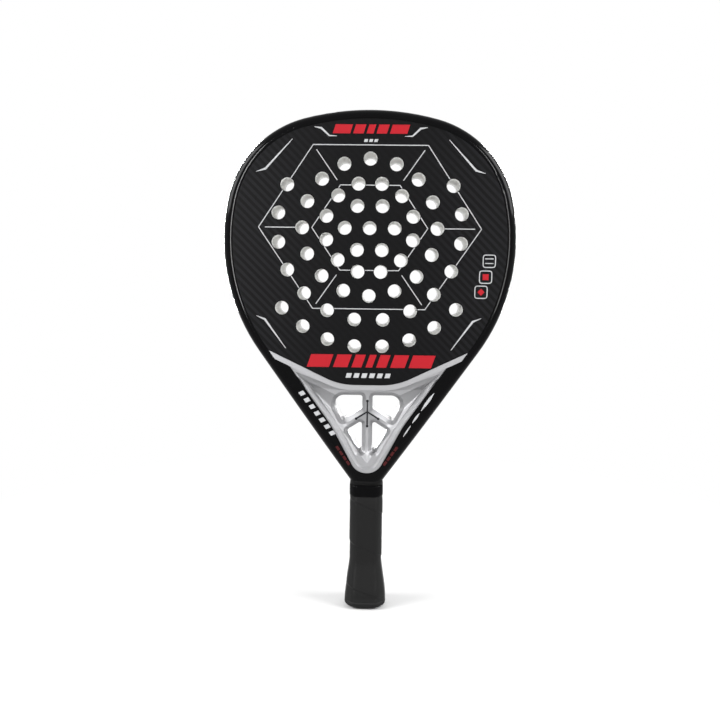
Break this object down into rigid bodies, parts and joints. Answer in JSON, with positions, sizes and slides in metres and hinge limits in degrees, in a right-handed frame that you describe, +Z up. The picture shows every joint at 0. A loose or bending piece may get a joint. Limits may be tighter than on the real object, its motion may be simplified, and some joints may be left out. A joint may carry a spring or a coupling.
{
  "type": "padel racket",
  "caption": "Padel racket: moulded frame and handle stem, drilled foam core between laminate faces, truss bridge in the throat, wrapped grip with collar, closing band and butt cap.",
  "frame": {"origin": "centre of the butt's flat end", "axes": "+Z up the handle to the top of the head, front face towards -Y, +X to the right as seen from the front"},
  "size_m": [0.26, 0.038, 0.455],
  "materials": {
    "gloss_laminate": "gloss lacquer over carbon laminate",
    "satin_laminate": "satin lacquer over carbon laminate",
    "core_foam": "white closed-cell foam",
    "silver_paint": "satin silver paint over a composite casting",
    "dark_inlay": "smooth dark inlay",
    "stem_foam": "rigid foam, unpainted",
    "grip_wrap": "matt synthetic wrap",
    "gloss_tape": "glossy film band",
    "collar_rubber": "matt rubber",
    "cap_plastic": "fine-grained moulding"
  },
  "bodies": {
    "root": {"frame": "gloss_laminate", "face_front": "satin_laminate", "face_back": "satin_laminate", "eva_core": "core_foam", "throat_bridge": "silver_paint", "throat_band_front": "silver_paint", "throat_band_back": "silver_paint", "bridge_inlay_front": "dark_inlay", "bridge_inlay_back": "dark_inlay", "handle_foam": "stem_foam", "base_grip": "grip_wrap", "finishing_tape": "gloss_tape", "grip_collar": "collar_rubber", "butt_cap": "cap_plastic"}
  },
  "joints": []
}
